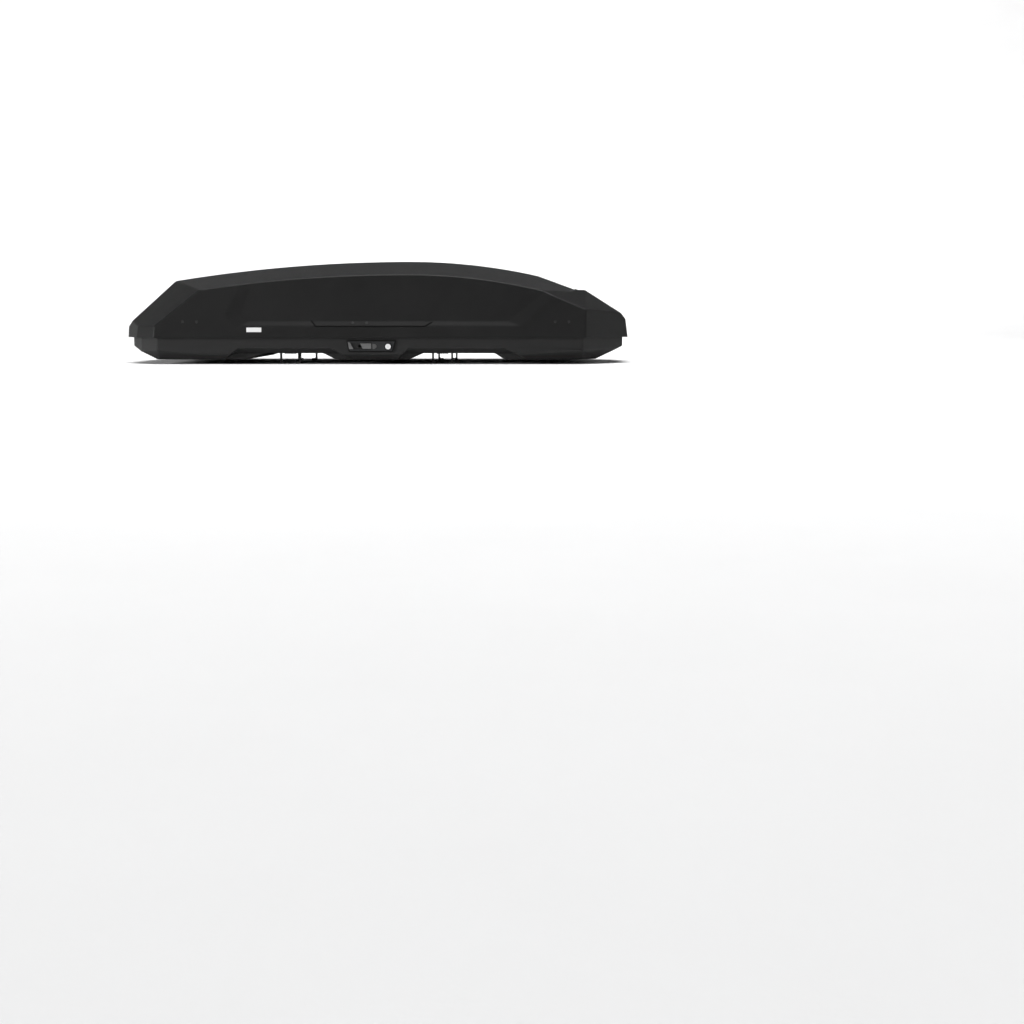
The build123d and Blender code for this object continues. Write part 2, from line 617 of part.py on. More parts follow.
for end_name, lifter_x in LIFTER_X.items():
    for side_name, side in SIDES.items():
        # An arm that lifts the right edge of the lid pivots on the left, and the other way round
        base_side = -side
        x = lifter_x - base_side * ARM_OFFSET
        arm_name = f"{end_name}_{side_name}_lifter_arm"
        pivot_y, tip_y = base_side * PIVOT[0], side * TIP[0]
        with BuildPart() as arm:
            beam = (
                (pivot_y, PIVOT[1] - 13),
                (pivot_y, PIVOT[1] + 13),
                (tip_y + base_side * 18, TIP[1] - 2),
                (tip_y - base_side * 10, TIP[1] - 2),
                (tip_y - base_side * 10, TIP[1] - 10),
                (tip_y + base_side * 10, TIP[1] - 16),
            )
            prism(Plane.YZ.offset(x - ARM_THICK / 2), beam, ARM_THICK)
            hub = [(x + end, pivot_y, PIVOT[1]) for end in (-ARM_THICK / 2, ARM_THICK / 2)]
            rod(13, *hub)
            rod(PIVOT_R + RUNNING_GAP, *hub, mode=Mode.SUBTRACT)
        save(arm, arm_name)

        with BuildPart() as shoe:
            with BuildSketch(Plane.YZ.offset(x - 6)) as shoe_face:
                with BuildLine():
                    ends = [(tip_y + offset_y, TIP[1] - 2) for offset_y in (-10, 10)]
                    ThreePointArc(ends[0], (tip_y, TIP[1] + SHOE_RISE), ends[1])
                    Line(ends[1], ends[0])
                make_face()
            extrude(amount=12)
        save(shoe, f"{end_name}_{side_name}_lifter_shoe")

# ---------------------------------------------------------------- roof bar clamps
half_x, half_y, housing_low, housing_high = HOUSING
for end_name, clamp_x in CLAMP_X.items():
    for side_name, side in SIDES.items():
        clamp = f"{end_name}_{side_name}_clamp"
        y = side * CLAMP_Y
        with BuildPart() as clamp_housing:
            outer_x, outer_y = (clamp_x - half_x, clamp_x + half_x), (y - half_y, y + half_y)
            block(outer_x, outer_y, (housing_low, housing_high))
            fillet(clamp_housing.edges().filter_by(Axis.Z), 8)
            chamfer(clamp_housing.faces().sort_by(Axis.Z)[-1].edges(), 3)
            hollow_x = (clamp_x - half_x + 3, clamp_x + half_x - 3)
            hollow_y = (y - half_y + 3, y + half_y - 3)
            block(hollow_x, hollow_y, (housing_low, housing_high - 4), Mode.SUBTRACT)
            block((clamp_x - 26, clamp_x + 26), hollow_y, (housing_low, 64))
            rod(8 + RUNNING_GAP, (clamp_x, y, 70), (clamp_x, y, housing_high), Mode.SUBTRACT)
        save(clamp_housing, f"{clamp}_housing")

        with BuildPart() as clamp_pad:
            block((clamp_x - 26, clamp_x + 26), (y - 12, y + 12), (CHANNEL_TOP - 5, housing_low))
            for groove_x in range(-16, 17, 8):
                groove = (clamp_x + groove_x - 1, clamp_x + groove_x + 1)
                block(groove, (y - 12, y + 12), (CHANNEL_TOP - 5, CHANNEL_TOP - 3), Mode.SUBTRACT)
        save(clamp_pad, f"{clamp}_pad")

        with BuildPart() as clamp_knob:
            rod(8, (clamp_x, y, 72), (clamp_x, y, 94))
            with BuildSketch(Plane.XY.offset(93)) as knob_face:
                with Locations((clamp_x, y)):
                    Circle(KNOB_R)
                    with PolarLocations(KNOB_R + 8, 6):
                        Circle(12, mode=Mode.SUBTRACT)
            extrude(amount=24)
            chamfer(clamp_knob.faces().sort_by(Axis.Z)[-1].edges(), 2)
        save(clamp_knob, f"{clamp}_knob")

        for claw_name, way in (("front", 1), ("rear", -1)):
            gap = BAR_GAP / 2
            hook = (
                (clamp_x + way * (gap - 18), 0),
                (clamp_x + way * (gap + 8), 0),
                (clamp_x + way * (gap + 8), 66),
                (clamp_x + way * (gap + 12), 66),
                (clamp_x + way * (gap + 12), 84),
                (clamp_x + way * (gap - 10), 84),
                (clamp_x + way * (gap - 10), 66),
                (clamp_x + way * gap, 66),
                (clamp_x + way * gap, 12),
                (clamp_x + way * (gap - 4), 8),
                (clamp_x + way * (gap - 18), 8),
            )
            with BuildPart() as claw:
                facing = Plane(origin=(0, y + 10, 0), x_dir=(1, 0, 0), z_dir=(0, -1, 0))
                prism(facing, hook, 20)
            save(claw, f"{clamp}_{claw_name}_claw")
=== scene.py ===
import json
from math import atan, cos, pi, radians, sin, sqrt, tan

import bmesh
import bpy
from mathutils import Matrix, Vector


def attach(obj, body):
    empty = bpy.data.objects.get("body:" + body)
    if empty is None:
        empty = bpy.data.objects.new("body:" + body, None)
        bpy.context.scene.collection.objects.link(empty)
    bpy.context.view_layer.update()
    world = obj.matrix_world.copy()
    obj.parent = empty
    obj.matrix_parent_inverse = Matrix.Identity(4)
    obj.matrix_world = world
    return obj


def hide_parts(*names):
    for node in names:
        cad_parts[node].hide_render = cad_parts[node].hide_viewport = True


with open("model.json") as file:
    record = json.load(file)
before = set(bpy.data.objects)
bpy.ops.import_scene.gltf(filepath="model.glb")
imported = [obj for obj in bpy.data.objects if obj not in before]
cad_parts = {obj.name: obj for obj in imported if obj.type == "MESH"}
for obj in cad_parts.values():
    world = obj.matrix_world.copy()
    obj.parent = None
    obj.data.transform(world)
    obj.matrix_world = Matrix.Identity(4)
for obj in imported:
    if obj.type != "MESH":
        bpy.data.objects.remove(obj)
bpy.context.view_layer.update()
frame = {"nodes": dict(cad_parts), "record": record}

# Shapes are worked out in millimetres in the model's frame: X to the nose, Y to the left, Z up.
MM = 0.001
SIDES = {"right": -1, "left": 1}

# ---------------------------------------------------------------- dimensions of the two shells
LENGTH = 2320
WIDTH = 940
HEIGHT = 466
WALL = 4
HALF_L = LENGTH / 2
HALF_W = WIDTH / 2
RAW_X = (-1200, 1200)  # raw blocks stand out past the shells before their faces are cut
RAW_Y = (-500, 500)

LID_BOTTOM = 120
RIM_TOP = 171
PEAK_X = 150
REAR_ARC = 6800
FRONT_ARC = 2700
FLAT_HALF = 200
CREASE_Y = 425
CREASE_Z = 401
SHOULDER = atan((HEIGHT - CREASE_Z) / (CREASE_Y - FLAT_HALF))
CROWN_STEP = 40

RECESS_DEPTH = 9
RECESS_SILL = 196
RECESS_FADE = 560
GRIP_X = (-284, -264, 228, 261)  # the grip line's rear end, its level stretch and its front end
GRIP_FRONT_Z = 190
CREASE_R = 6
CREASE_ANGLE = 6  # degrees; flatter folds stay as they are

BASE_HALF_L = 1136
BASE_HALF_W = 446
BASE_TOP = 150
BASE_FLOOR = 20
CHANNEL_TOP = 49
UNDERCUT_Z = 46
UNDERCUT_FOOT = 404
RIM_GAP = 24
CHANNELS = ((-590, -498, -239, -181), (152, 214, 542, 586))
CHANNEL_REACH = 40  # from a channel's top down to the foot of its cutter, below the base
FLARES = (((-643, -166), (-611, -203)), ((133, 627), (157, 586)))
FLARE_FOOT_Z = 52
FLARE_TOP_Z = 74
FLARE_Y = (400, 500)
FLARE_ROOF = ((0, FLARE_Y[0], CHANNEL_TOP), (100, FLARE_Y[0], CHANNEL_TOP), (0, FLARE_Y[1], 101))
FLARE_INNER = 399.6  # kept off the inner end, where faces would coincide
SLOTS = ((-494, -243), (218, 538))
SLOT_Y = 300
SLOT_HALF = 14
OPENING_GAP = 2  # room round each piece that passes through the base's wall

STATIONS = (-830, -65, 845)
PIN_Z = 128
WINDOW_HALF = 4
LATCH_TRAVEL = 24
SLEEVE = (34, 52)
STEM_X = (-48, -32)
STEM_Z = (78, 86)
KEY_X = 61
KEY_Z = 80
KEY_R = 12.5

LIFTER_X = (-760, 740)
PIVOT = (415, 142)

# Corners of the lid's flat facets; those off the centre are given for the left side
REAR_SLOPE_TOP = (-942, 200, 378)
REAR_SHOULDER = (-786, 434, 336)
REAR_HIP = (-990, 462, RIM_TOP)
REAR_CHEEK = (-1088, 355, RIM_TOP)
NOSE_HIP = (806, 439, 308)
NOSE_CHEEK = (953, 450, 246)
NOSE_CORNER = (1127, 230, 230)
NOSE_LIP = (1149, 210, 203)
NOSE_BROW = (957, 250, 336)
BROW_VALLEY = (912, 220, 336)
REAR_CHAMFER = ((-994, HALF_W, LID_BOTTOM), (-1094, 360, LID_BOTTOM))
REAR_QUARTER = ((-1094, 360, LID_BOTTOM), (-HALF_L, 245, LID_BOTTOM))
FRONT_CHAMFER = ((952, HALF_W, LID_BOTTOM), (HALF_L, 200, LID_BOTTOM))
LID_MIDDLE = (0, 0, 200)


def level_facet(low, high):
    """Three corners of a facet that runs straight across the box, from its lower and upper edge."""
    (low_x, low_z), (high_x, high_z) = low, high
    return (low_x, 0, low_z), (low_x, 100, low_z), (high_x, 0, high_z)


FORE_ROOF = level_facet((740, 401), (BROW_VALLEY[0], BROW_VALLEY[2]))
LID_END_FACETS = (
    level_facet((-HALF_L, LID_BOTTOM), (-HALF_L, RIM_TOP)),
    level_facet((-HALF_L, 169), (REAR_SLOPE_TOP[0], REAR_SLOPE_TOP[2])),
    level_facet((HALF_L, LID_BOTTOM), (NOSE_LIP[0], NOSE_LIP[2])),
    level_facet((NOSE_LIP[0], NOSE_LIP[2]), (NOSE_CORNER[0], NOSE_CORNER[2])),
    level_facet((NOSE_CORNER[0], NOSE_CORNER[2]), (NOSE_BROW[0], NOSE_BROW[2])),
)
LID_SIDE_FACETS = (
    ((0, HALF_W, LID_BOTTOM), (100, HALF_W, LID_BOTTOM), (0, CREASE_Y, CREASE_Z)),
    (*REAR_CHAMFER, (-982, 460, 220)),
    (*REAR_QUARTER, (-1080, 352, 220)),
    (REAR_SHOULDER, REAR_HIP, REAR_CHEEK),
    (*FRONT_CHAMFER, NOSE_CHEEK),
    (NOSE_HIP, NOSE_CHEEK, NOSE_BROW),
    (NOSE_CHEEK, NOSE_CORNER, NOSE_BROW),
)
BROW_FACETS = (
    level_facet((BROW_VALLEY[0], BROW_VALLEY[2]), (NOSE_BROW[0], NOSE_BROW[2])),
    level_facet((NOSE_HIP[0], NOSE_HIP[2]), (BROW_VALLEY[0], BROW_VALLEY[2])),
)
BASE_MIDDLE = (0, 0, 120)
BASE_END_FACETS = (
    level_facet((0, BASE_FLOOR), (100, BASE_FLOOR)),
    level_facet((-BASE_HALF_L, 80), (-BASE_HALF_L, 120)),
    level_facet((-1130, 76), (-1002, BASE_FLOOR)),
    level_facet((BASE_HALF_L, 80), (BASE_HALF_L, 120)),
    level_facet((1131, 76), (1005, BASE_FLOOR)),
)
BASE_SIDE_FACETS = (
    ((0, BASE_HALF_W, 60), (100, BASE_HALF_W, 60), (0, BASE_HALF_W, 120)),
    ((0, BASE_HALF_W, UNDERCUT_Z), (100, BASE_HALF_W, UNDERCUT_Z), (0, UNDERCUT_FOOT, BASE_FLOOR)),
    ((-790, BASE_HALF_W, UNDERCUT_Z), (-983, BASE_HALF_W, 60), (-790, UNDERCUT_FOOT, BASE_FLOOR)),
    ((700, BASE_HALF_W, UNDERCUT_Z), (935, BASE_HALF_W, 62), (700, UNDERCUT_FOOT, BASE_FLOOR)),
    ((-983, BASE_HALF_W, 63), (-1083, 336, 63), (-955, 415, BASE_FLOOR)),
    ((-1083, 336, 63), (-1149, 221, 63), (-1047, 315, BASE_FLOOR)),
    ((940, BASE_HALF_W, 63), (BASE_HALF_L, 192, 63), (904, 418, BASE_FLOOR)),
)


def crown(x):
    """Height of the flat middle strip of the roof at x."""
    radius = REAR_ARC if x < PEAK_X else FRONT_ARC
    return HEIGHT - radius + sqrt(radius**2 - (x - PEAK_X) ** 2)


def crown_slope(x):
    """How fast the roof line rises at x."""
    radius = REAR_ARC if x < PEAK_X else FRONT_ARC
    return -(x - PEAK_X) / sqrt(radius**2 - (x - PEAK_X) ** 2)


def side_y(z):
    """How far out the lid's drafted side stands at height z."""
    return HALF_W - (HALF_W - CREASE_Y) * (z - LID_BOTTOM) / (CREASE_Z - LID_BOTTOM)


def recess_y(z):
    """How far out the recessed panel of the lid's side stands at height z."""
    share = (RECESS_FADE - z) / (RECESS_FADE - RECESS_SILL)
    return side_y(z) - RECESS_DEPTH * share


def on_side(x, z):
    """The point of the lid's plain side at x and height z."""
    return x, side_y(z), z


def on_recess(x, z):
    """The point of the recess's panel at x and height z."""
    return x, recess_y(z), z


RECESS_FACETS = (
    (on_recess(0, RECESS_SILL), on_recess(100, RECESS_SILL), on_recess(0, CREASE_Z)),
    (on_side(0, RIM_TOP), on_side(100, RIM_TOP), on_recess(0, RECESS_SILL)),
    (on_side(663, RIM_TOP), on_side(808, 310), on_recess(747, 310)),
    (on_side(-672, 220), on_side(-598, 356), on_recess(-580, 290)),
    (on_side(-672, 220), on_side(-612, RIM_TOP), on_recess(-559, RECESS_SILL)),
)


# ---------------------------------------------------------------- mesh tools
def facet(corners, inside, side=1):
    """A plane through three corners: a point, and a normal that faces away from a point inside."""
    a, b, c = (Vector((x, side * y, z)) for x, y, z in corners)
    normal = (b - a).cross(c - a).normalized()
    if normal.dot(a - Vector(inside)) < 0:
        normal.negate()
    return a, normal


def new_piece(name, mesh):
    """A new object from a bmesh, which is freed."""
    bmesh.ops.recalc_face_normals(mesh, faces=mesh.faces)
    data = bpy.data.meshes.new(name)
    mesh.to_mesh(data)
    mesh.free()
    piece = bpy.data.objects.new(name, data)
    bpy.context.scene.collection.objects.link(piece)
    return piece


def convex(name, x, y, z, planes=()):
    """A closed convex solid: a box cut back by planes."""
    mesh = bmesh.new()
    bmesh.ops.create_cube(mesh, size=1)
    for vert in mesh.verts:
        spans = zip(vert.co, (x, y, z))
        vert.co = [low + (high - low) * (part + 0.5) for part, (low, high) in spans]
    for point, normal in planes:
        geometry = mesh.verts[:] + mesh.edges[:] + mesh.faces[:]
        bmesh.ops.bisect_plane(
            mesh, geom=geometry, dist=0.001, plane_co=point, plane_no=normal, clear_outer=True
        )
        rim = [edge for edge in mesh.edges if edge.is_boundary]
        if rim:
            bmesh.ops.edgeloop_fill(mesh, edges=rim)
    return new_piece(name, mesh)


def prism(name, outline, start, run):
    """A closed prism: an outline of points at start, swept along the vector run."""
    mesh = bmesh.new()
    verts = [mesh.verts.new(Vector(start) + Vector(point)) for point in outline]
    face = mesh.faces.new(verts)
    swept = bmesh.ops.extrude_face_region(mesh, geom=[face])
    moved = [item for item in swept["geom"] if isinstance(item, bmesh.types.BMVert)]
    bmesh.ops.translate(mesh, verts=moved, vec=Vector(run))
    return new_piece(name, mesh)


def settle(piece):
    """Makes a piece's modifiers part of its mesh."""
    graph = bpy.context.evaluated_depsgraph_get()
    mesh = bpy.data.meshes.new_from_object(piece.evaluated_get(graph))
    piece.modifiers.clear()
    piece.data = mesh
    return piece


def combine(piece, operation, *others):
    """Joins, cuts or intersects a piece with others, which are used up."""
    for other in others:
        change = piece.modifiers.new("combine", "BOOLEAN")
        change.operation = operation
        change.solver = "EXACT"
        change.object = other
        settle(piece)
        bpy.data.objects.remove(other)
    return piece


def clean(piece, open_level=None):
    """Merges slivers and flat neighbours, and takes off the flat face at open_level."""
    mesh = bmesh.new()
    mesh.from_mesh(piece.data)
    bmesh.ops.remove_doubles(mesh, verts=mesh.verts, dist=0.3)
    bmesh.ops.dissolve_degenerate(mesh, edges=mesh.edges, dist=0.8)
    bmesh.ops.dissolve_limit(
        mesh,
        angle_limit=radians(0.2),
        verts=mesh.verts,
        edges=mesh.edges,
        use_dissolve_boundaries=False,
    )
    if open_level is not None:
        mouth = [f for f in mesh.faces if all(abs(v.co.z - open_level) < 0.1 for v in f.verts)]
        bmesh.ops.delete(mesh, geom=mouth, context="FACES")
    bmesh.ops.recalc_face_normals(mesh, faces=mesh.faces)
    mesh.to_mesh(piece.data)
    mesh.free()
    return piece


def round_creases(piece, radius, least_angle, segments=4):
    """Rounds the edges where faces meet at more than least_angle degrees."""
    mesh = bmesh.new()
    mesh.from_mesh(piece.data)
    weight = mesh.edges.layers.float.new("bevel_weight_edge")
    for edge in mesh.edges:
        if len(edge.link_faces) == 2 and edge.calc_face_angle() > radians(least_angle):
            edge[weight] = 1
    mesh.to_mesh(piece.data)
    mesh.free()
    bevel = piece.modifiers.new("round creases", "BEVEL")
    bevel.limit_method = "WEIGHT"
    bevel.width = radius
    bevel.segments = segments
    bevel.use_clamp_overlap = False
    bevel.loop_slide = False
    return piece


def hollow(piece, thickness):
    """Gives an open surface a wall, on its inner side."""
    wall = piece.modifiers.new("wall", "SOLIDIFY")
    wall.thickness = thickness
    wall.offset = -1
    return settle(piece)


def ease_edges(piece, width, angle=50, segments=2):
    """Takes the sharpness off a piece's hard edges."""
    bevel = piece.modifiers.new("ease edges", "BEVEL")
    bevel.limit_method = "ANGLE"
    bevel.angle_limit = radians(angle)
    bevel.width = width
    bevel.segments = segments
    return piece


def finish_piece(piece, body, material, replaces=()):
    """Puts a piece that was made in millimetres on its body, in metres, with smooth shading."""
    settle(piece)
    piece.data.transform(Matrix.Scale(MM, 4))
    piece.data.polygons.foreach_set("use_smooth", [True] * len(piece.data.polygons))
    piece.data.set_sharp_from_angle(angle=radians(35))
    normals = piece.modifiers.new("even shading", "WEIGHTED_NORMAL")
    normals.keep_sharp = True
    piece.data.materials.clear()
    piece.data.materials.append(material)
    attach(piece, body)
    if replaces:
        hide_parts(*replaces)
    return piece


# ---------------------------------------------------------------- materials
def grained(
    name, tone, roughness, grain, depth, metallic=0.0, specular=0.3, mottle=0.12, coarse=3.0
):
    """A moulded or metal finish: fine grain, uneven gloss and slight changes of tone.

    grain is how many bumps lie along a metre, depth their height in metres, mottle how much the
    tone varies, and coarse how many of its patches lie along a metre."""
    material = bpy.data.materials.new(name)
    material.use_nodes = True
    nodes, links = material.node_tree.nodes, material.node_tree.links
    shader = nodes["Principled BSDF"]
    shader.inputs["Metallic"].default_value = metallic
    shader.inputs["Specular IOR Level"].default_value = specular
    place = nodes.new("ShaderNodeTexCoord")

    patches = nodes.new("ShaderNodeTexNoise")
    patches.inputs["Scale"].default_value = coarse
    patches.inputs["Detail"].default_value = 6
    patches.inputs["Roughness"].default_value = 0.65
    links.new(place.outputs["Object"], patches.inputs["Vector"])

    shades = nodes.new("ShaderNodeValToRGB")
    for stop, share in zip(shades.color_ramp.elements, (1 - mottle, 1 + mottle)):
        stop.color = (*(min(1, channel * share) for channel in tone), 1)
    shades.color_ramp.elements[0].position = 0.3
    shades.color_ramp.elements[1].position = 0.7
    links.new(patches.outputs["Fac"], shades.inputs["Fac"])
    links.new(shades.outputs["Color"], shader.inputs["Base Color"])

    gloss = nodes.new("ShaderNodeMapRange")
    gloss.inputs["To Min"].default_value = roughness - 0.06
    gloss.inputs["To Max"].default_value = roughness + 0.08
    links.new(patches.outputs["Fac"], gloss.inputs["Value"])
    links.new(gloss.outputs["Result"], shader.inputs["Roughness"])

    cells = nodes.new("ShaderNodeTexVoronoi")
    cells.inputs["Scale"].default_value = grain
    links.new(place.outputs["Object"], cells.inputs["Vector"])
    relief = nodes.new("ShaderNodeBump")
    relief.inputs["Strength"].default_value = 0.5
    relief.inputs["Distance"].default_value = depth
    links.new(cells.outputs["Distance"], relief.inputs["Height"])
    links.new(relief.outputs["Normal"], shader.inputs["Normal"])
    return material


def grey(value):
    """A neutral colour."""
    return (value, value, value)


ZINC = (0.52, 0.53, 0.55)
ALUMINIUM = (0.6, 0.61, 0.63)
SPRING = (0.30, 0.31, 0.33)
NYLON_BLACK = (0.012, 0.0125, 0.0135)
NYLON_WHITE = (0.72, 0.71, 0.67)
FINISHES = {
    "lid_plastic": grained("lid_abs", grey(0.0075), 0.46, 900, 0.00012, specular=0.13),
    "base_plastic": grained("base_abs", grey(0.015), 0.55, 700, 0.00016, specular=0.15),
    "black_rubber": grained("seal_rubber", grey(0.010), 0.75, 1200, 0.0001, specular=0.15),
    "zinc_steel": grained("zinc_steel", ZINC, 0.34, 500, 0.00005, 1.0, 0.5, 0.15, 25),
    "black_steel": grained("powder_coat", grey(0.012), 0.5, 1500, 0.00008, specular=0.25),
    "bow_aluminium": grained("satin_aluminium", ALUMINIUM, 0.4, 900, 0.00003, 1.0, 0.5, 0.08, 12),
    "grey_plastic": grained(
        "grey_plastic", grey(0.095), 0.45, 1500, 0.00006, specular=0.35, coarse=20
    ),
    "clamp_plastic": grained("glass_nylon", NYLON_BLACK, 0.55, 1300, 0.0001, specular=0.25),
    "white_nylon": grained("white_nylon", NYLON_WHITE, 0.5, 900, 0.00005, coarse=30),
    "key_silver": grained("key_silver", grey(0.7), 0.32, 1800, 0.00002, 0.35, 0.5, 0.03, 40),
    "badge_pale": grained("badge_pale", grey(0.55), 0.35, 1500, 0.00002, specular=0.5, mottle=0.02),
    "spring_steel": grained("spring_steel", SPRING, 0.35, 700, 0.00003, 1.0, 0.5, 0.15, 60),
}
LOCK_BLACK = grained("lock_black", grey(0.003), 0.7, 1500, 0.00005, specular=0.08)
LENS_GREY = grained("lens_grey", grey(0.05), 0.35, 1500, 0.00002, specular=0.4)

node_slots = {part["node"]: part["material_slot"] for part in frame["record"]["subparts"]}


# ---------------------------------------------------------------- lid moulding
def lid_outside():
    """The lid's outer form: flat facets all round, a curved roof and the nose's raised visor."""
    planes = [facet(corners, LID_MIDDLE) for corners in LID_END_FACETS]
    for side in SIDES.values():
        planes += [facet(corners, LID_MIDDLE, side) for corners in LID_SIDE_FACETS]
    form = convex("lid_moulding", RAW_X, RAW_Y, (LID_BOTTOM, 500), planes)

    roof_planes = [facet(FORE_ROOF, LID_MIDDLE)]
    step_count = int(LENGTH / CROWN_STEP)
    for step in range(step_count + 1):
        x = -HALF_L - CROWN_STEP / 2 + PEAK_X % CROWN_STEP + step * CROWN_STEP
        height, slope = crown(x), crown_slope(x)
        roof_planes.append((Vector((x, 0, height)), Vector((-slope, 0, 1)).normalized()))
        for side in SIDES.values():
            lean = Vector((-slope, side * tan(SHOULDER), 1)).normalized()
            roof_planes.append((Vector((x, side * FLAT_HALF, height)), lean))
    roof = convex("roof", (-1300, 1300), (-600, 600), (60, 600), roof_planes)
    brow = [facet(corners, (1000, 0, 200)) for corners in BROW_FACETS]
    visor = convex("visor", (700, 1350), (-650, 650), (30, 550), brow)
    combine(roof, "UNION", visor)
    combine(form, "INTERSECT", roof)

    for side in SIDES.values():
        outside = (100, side * 500, 260)
        reach = sorted((side * 390, side * 520))
        planes = [facet(corners, outside, side) for corners in RECESS_FACETS]
        combine(form, "DIFFERENCE", convex("recess", (-800, 900), reach, (140, 450), planes))
    return form


def grip_line(name, side, depth, radius):
    """A bar along the foot of the recessed panel, its ends turned up, at a depth in the wall."""
    rear_z = RECESS_SILL + 1
    up_the_sill = (GRIP_FRONT_Z - RIM_TOP) / (RECESS_SILL - RIM_TOP)
    front_y = side_y(GRIP_FRONT_Z) - RECESS_DEPTH * up_the_sill
    rear_end, rear_foot, front_foot, front_end = GRIP_X
    path = (
        (rear_end, recess_y(rear_z) - depth, rear_z),
        (rear_foot, side_y(RIM_TOP) - depth, RIM_TOP),
        (front_foot, side_y(RIM_TOP) - depth, RIM_TOP),
        (front_end, front_y - depth, GRIP_FRONT_Z),
    )
    return tube(name, [(x, side * y, z) for x, y, z in path], radius)


def tube(name, points, radius, smooth=False):
    """A round bar through points, as a closed mesh."""
    curve = bpy.data.curves.new(name, "CURVE")
    curve.dimensions = "3D"
    curve.bevel_depth = radius
    curve.bevel_resolution = 3
    curve.use_fill_caps = True
    spline = curve.splines.new("NURBS" if smooth else "POLY")
    spline.points.add(len(points) - 1)
    for spot, point in zip(spline.points, points):
        spot.co = (*point, 1)
    if smooth:
        spline.use_endpoint_u = True
        spline.order_u = 3
        spline.resolution_u = 6
    holder = bpy.data.objects.new(name, curve)
    bpy.context.scene.collection.objects.link(holder)
    graph = bpy.context.evaluated_depsgraph_get()
    mesh = bpy.data.meshes.new_from_object(holder.evaluated_get(graph))
    bpy.data.objects.remove(holder)
    piece = bpy.data.objects.new(name, mesh)
    bpy.context.scene.collection.objects.link(piece)
    return piece


lid = clean(lid_outside(), open_level=LID_BOTTOM)
round_creases(lid, CREASE_R, CREASE_ANGLE)
hollow(lid, WALL)
for side in SIDES.values():
    combine(lid, "UNION", grip_line("groove_backing", side, 4.6, 4.2))
    combine(lid, "DIFFERENCE", grip_line("grip_groove", side, 0.2, 3.6))
ease_edges(lid, 1)
finish_piece(lid, "lid", FINISHES["lid_plastic"], ["lid_shell"])

# A near-black strip in each grip groove: painted shade, standing for the deep shadow along the grip
# line.
for side_name, side in SIDES.items():
    strip = grip_line(f"{side_name}_grip_painted_shade_strip", side, 1.4, 2.6)
    finish_piece(strip, "lid", LOCK_BLACK)


# ---------------------------------------------------------------- base moulding
def base_outside():
    """The base tray's outer form, with the roof bar channels and the flares over them."""
    planes = [facet(corners, BASE_MIDDLE) for corners in BASE_END_FACETS]
    for side in SIDES.values():
        planes += [facet(corners, BASE_MIDDLE, side) for corners in BASE_SIDE_FACETS]
        for a, b in (REAR_CHAMFER, REAR_QUARTER, FRONT_CHAMFER):
            point, normal = facet((a, b, (a[0], a[1], 0)), BASE_MIDDLE, side)
            planes.append((point - normal * RIM_GAP, normal))
    form = convex("base_moulding", RAW_X, RAW_Y, (0, BASE_TOP), planes)
    for foot_a, top_a, top_b, foot_b in CHANNELS:
        run_a = (top_a - foot_a) / (CHANNEL_TOP - BASE_FLOOR) * CHANNEL_REACH
        run_b = (foot_b - top_b) / (CHANNEL_TOP - BASE_FLOOR) * CHANNEL_REACH
        low = CHANNEL_TOP - CHANNEL_REACH
        outline = (
            (top_a - run_a, 0, low),
            (top_a, 0, CHANNEL_TOP),
            (top_b, 0, CHANNEL_TOP),
            (top_b + run_b, 0, low),
        )
        combine(form, "DIFFERENCE", prism("channel", outline, (0, -520, 0), (0, 1040, 0)))
    for foot, top in FLARES:
        for side in SIDES.values():
            inside = ((foot[0] + foot[1]) / 2, side * 450, 0)
            planes = [facet(FLARE_ROOF, inside, side)]
            for foot_x, top_x in zip(foot, top):
                end = (
                    (foot_x, FLARE_Y[0], FLARE_FOOT_Z),
                    (foot_x, FLARE_Y[1], FLARE_FOOT_Z),
                    (top_x, FLARE_Y[0], FLARE_TOP_Z),
                )
                planes.append(facet(end, inside, side))
            reach = sorted((side * FLARE_INNER, side * FLARE_Y[1]))
            cutter = convex("flare", (foot[0] - 120, foot[1] + 120), reach, (-10, 120), planes)
            combine(form, "DIFFERENCE", cutter)
    return form


def base_openings():
    """The openings in the base's walls and floor: hinge windows, latch, key and clamp slots."""
    cutters = []
    for side in SIDES.values():
        through = sorted((side * (BASE_HALF_W - 12), side * (BASE_HALF_W + 12)))
        for station in STATIONS:
            rear = station + SLEEVE[0] - LATCH_TRAVEL - OPENING_GAP
            window = (rear, station + SLEEVE[1] + OPENING_GAP)
            height = (PIN_Z - WINDOW_HALF, PIN_Z + WINDOW_HALF)
            cutters.append(convex("window", window, through, height))
        stem_path = (STEM_X[0] - LATCH_TRAVEL - OPENING_GAP, STEM_X[1] + OPENING_GAP)
        stem_height = (STEM_Z[0] - OPENING_GAP, STEM_Z[1] + OPENING_GAP)
        cutters.append(convex("stem_slot", stem_path, through, stem_height))
        ends = [(KEY_X, y, KEY_Z) for y in through]
        cutters.append(tube("key_hole", ends, KEY_R + 1))
        for slot in SLOTS:
            across = (side * SLOT_Y - SLOT_HALF, side * SLOT_Y + SLOT_HALF)
            cutters.append(convex("clamp_slot", slot, across, (36, 64)))
    return cutters


base = clean(base_outside(), open_level=BASE_TOP)
round_creases(base, CREASE_R, CREASE_ANGLE)
hollow(base, WALL)
combine(base, "DIFFERENCE", *base_openings())
ease_edges(base, 0.8)
finish_piece(base, "base", FINISHES["base_plastic"], ["base_shell"])


